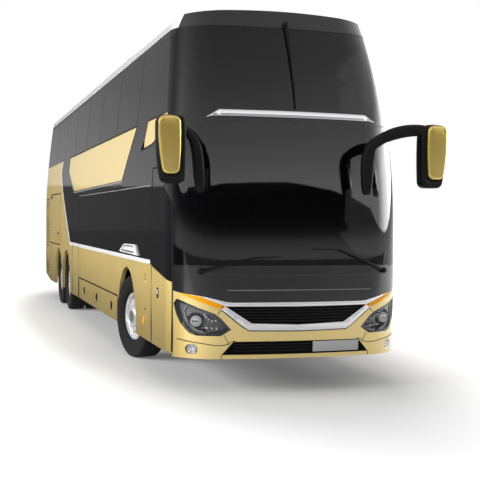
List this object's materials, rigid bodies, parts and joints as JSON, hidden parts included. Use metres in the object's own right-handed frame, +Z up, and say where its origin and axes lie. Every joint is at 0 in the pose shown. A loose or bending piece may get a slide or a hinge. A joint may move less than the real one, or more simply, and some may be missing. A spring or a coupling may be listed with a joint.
{
  "type": "double-deck touring coach",
  "caption": "Double-deck touring coach with swing-out doors, luggage flaps, engine lid, steered front wheels and rolling wheels.",
  "frame": {"origin": "on the ground under the middle of the coach with its mirrors", "axes": "+Z up, +Y towards the tail along the coach, +X towards the coach's left side"},
  "size_m": [3.0656, 14.2619, 4],
  "materials": {
    "gold_paint": "gloss metallic",
    "white_paint": "gloss",
    "silver_paint": "satin",
    "black_paint": "gloss",
    "dark_glass": "polished",
    "screen_glass": "polished",
    "lamp_glass": "polished",
    "amber_lens": "polished",
    "red_lens": "polished",
    "chrome": "polished",
    "black_plastic": "satin",
    "tyre_rubber": "matt",
    "wheel_alloy": "satin",
    "axle_steel": "rough",
    "chassis_paint": "satin",
    "seat_fabric": "woven",
    "deck_cover": "satin"
  },
  "bodies": {
    "coach": {"gold_panels": "gold_paint", "mid_panels": "gold_paint", "rear_wall": "gold_paint", "front_bumper": "gold_paint", "mirror_shells": "gold_paint", "swooshes": "white_paint", "roof_panel": "white_paint", "roof_rails": "silver_paint", "side_frames": "black_paint", "roof_cap": "black_paint", "front_frame": "black_paint", "front_mask": "black_paint", "side_panes": "dark_glass", "rear_window": "dark_glass", "windscreens": "screen_glass", "headlamps": "lamp_glass", "indicators": "amber_lens", "rear_lamps": "red_lens", "chrome_trim": "chrome", "front_grilles": "black_plastic", "wheel_housings": "black_plastic", "dashboard": "black_plastic", "steering_wheel": "black_plastic", "mirror_arms": "black_plastic", "wipers": "black_plastic", "tag_axle": "axle_steel", "drive_axle": "axle_steel", "front_wishbones": "axle_steel", "engine_block": "axle_steel", "underframe": "chassis_paint", "seat_cushions": "seat_fabric", "seat_backs": "seat_fabric", "driver_seat": "seat_fabric", "upper_deck": "deck_cover"},
    "engine_lid": {"engine_lid": "gold_paint"},
    "front_door_arm": {"front_door_arm": "black_plastic"},
    "front_door": {"front_door": "gold_paint", "front_door_glass": "dark_glass"},
    "mid_door_arm": {"mid_door_arm": "black_plastic"},
    "mid_door": {"mid_door": "gold_paint", "mid_door_glass": "dark_glass"},
    "boot_flap_right": {"boot_flap_right": "gold_paint"},
    "skirt_flap_right": {"skirt_flap_right": "gold_paint"},
    "steer_right": {"front_knuckle_right": "axle_steel"},
    "front_wheel_right": {"front_tyre_right": "tyre_rubber", "front_rim_right": "wheel_alloy"},
    "tag_wheel_right": {"tag_tyre_right": "tyre_rubber", "tag_rim_right": "wheel_alloy"},
    "drive_wheels_right": {"drive_tyres_right": "tyre_rubber", "drive_rims_right": "wheel_alloy"},
    "boot_flap_left": {"boot_flap_left": "gold_paint"},
    "skirt_flap_left": {"skirt_flap_left": "gold_paint"},
    "steer_left": {"front_knuckle_left": "axle_steel"},
    "front_wheel_left": {"front_tyre_left": "tyre_rubber", "front_rim_left": "wheel_alloy"},
    "tag_wheel_left": {"tag_tyre_left": "tyre_rubber", "tag_rim_left": "wheel_alloy"},
    "drive_wheels_left": {"drive_tyres_left": "tyre_rubber", "drive_rims_left": "wheel_alloy"}
  },
  "joints": [
    {"name": "steer_right", "type": "hinge", "parent": "coach", "child": "steer_right", "pos_m": [-0.955, -3.97, 0.52], "axis": [0, 0, 1], "range_deg": [-54, 30]},
    {"name": "steer_left", "type": "hinge", "parent": "coach", "child": "steer_left", "pos_m": [0.955, -3.97, 0.52], "axis": [0, 0, 1], "range_deg": [-54, 30]},
    {"name": "front_spin_right", "type": "hinge", "parent": "steer_right", "child": "front_wheel_right", "pos_m": [-1.0822, -3.997, 0.52], "axis": [0.9781, 0.2079, 0], "continuous": true},
    {"name": "tag_spin_right", "type": "hinge", "parent": "coach", "child": "tag_wheel_right", "pos_m": [-1.085, 4.08, 0.52], "axis": [1, 0, 0], "continuous": true},
    {"name": "drive_spin_right", "type": "hinge", "parent": "coach", "child": "drive_wheels_right", "pos_m": [-0.918, 2.73, 0.52], "axis": [1, 0, 0], "continuous": true},
    {"name": "boot_hinge_right", "type": "hinge", "parent": "coach", "child": "boot_flap_right", "pos_m": [-1.2694, 4.87, 2.24], "axis": [0, 1, 0], "range_deg": [0, 95]},
    {"name": "skirt_hinge_right", "type": "hinge", "parent": "coach", "child": "skirt_flap_right", "pos_m": [-1.275, -1.245, 0.72], "axis": [0, 1, 0], "range_deg": [0, 55]},
    {"name": "front_spin_left", "type": "hinge", "parent": "steer_left", "child": "front_wheel_left", "pos_m": [1.0822, -3.943, 0.52], "axis": [0.9781, 0.2079, 0], "continuous": true},
    {"name": "tag_spin_left", "type": "hinge", "parent": "coach", "child": "tag_wheel_left", "pos_m": [1.085, 4.08, 0.52], "axis": [1, 0, 0], "continuous": true},
    {"name": "drive_spin_left", "type": "hinge", "parent": "coach", "child": "drive_wheels_left", "pos_m": [0.918, 2.73, 0.52], "axis": [1, 0, 0], "continuous": true},
    {"name": "boot_hinge_left", "type": "hinge", "parent": "coach", "child": "boot_flap_left", "pos_m": [1.2694, 4.87, 2.24], "axis": [0, -1, 0], "range_deg": [0, 95]},
    {"name": "skirt_hinge_left", "type": "hinge", "parent": "coach", "child": "skirt_flap_left", "pos_m": [1.275, -1.245, 0.72], "axis": [0, -1, 0], "range_deg": [0, 55]},
    {"name": "lid_hinge", "type": "hinge", "parent": "coach", "child": "engine_lid", "pos_m": [0, 7.128, 1.78], "axis": [1, 0, 0], "range_deg": [0, 80]},
    {"name": "front_door_swing", "type": "hinge", "parent": "coach", "child": "front_door_arm", "pos_m": [-1.18, -6.375, 0.9], "axis": [0, 0, 1], "range_deg": [0, 136]},
    {"name": "front_door_turn", "type": "hinge", "parent": "front_door_arm", "child": "front_door", "pos_m": [-1.1626, -5.8753, 0.9], "axis": [0, 0, 1], "range_deg": [-136, 0]},
    {"name": "mid_door_swing", "type": "hinge", "parent": "coach", "child": "mid_door_arm", "pos_m": [-1.18, 0.955, 0.9], "axis": [0, 0, 1], "range_deg": [0, 136]},
    {"name": "mid_door_turn", "type": "hinge", "parent": "mid_door_arm", "child": "mid_door", "pos_m": [-1.1626, 1.4547, 0.9], "axis": [0, 0, 1], "range_deg": [-136, 0]}
  ],
  "couplings": [
    {"joint": "steer_left", "follows": "steer_right", "ratio": 1},
    {"joint": "front_door_turn", "follows": "front_door_swing", "ratio": -1},
    {"joint": "mid_door_turn", "follows": "mid_door_swing", "ratio": -1}
  ]
}
